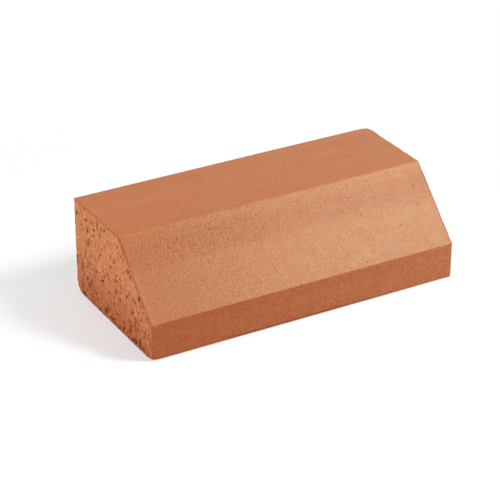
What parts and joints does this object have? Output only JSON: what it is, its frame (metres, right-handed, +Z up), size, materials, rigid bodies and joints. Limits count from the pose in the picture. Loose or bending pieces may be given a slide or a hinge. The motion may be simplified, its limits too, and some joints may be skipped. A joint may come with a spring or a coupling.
{
  "type": "clay plinth stretcher brick",
  "caption": "Solid fired-clay plinth brick with a long splay along its top front edge, an upright strip under it and wire-cut ends, laid in mortar to step a wall back.",
  "frame": {"origin": "middle of the bottom bed, on the surface that the brick lies on", "axes": "+X along the length of the brick, +Y from the splayed front to the back face, +Z up from the bottom bed to the top bed"},
  "size_m": [0.215, 0.1024, 0.065],
  "materials": {
    "fired_clay": "matte"
  },
  "bodies": {
    "root": {"brick": "fired_clay"}
  },
  "joints": []
}
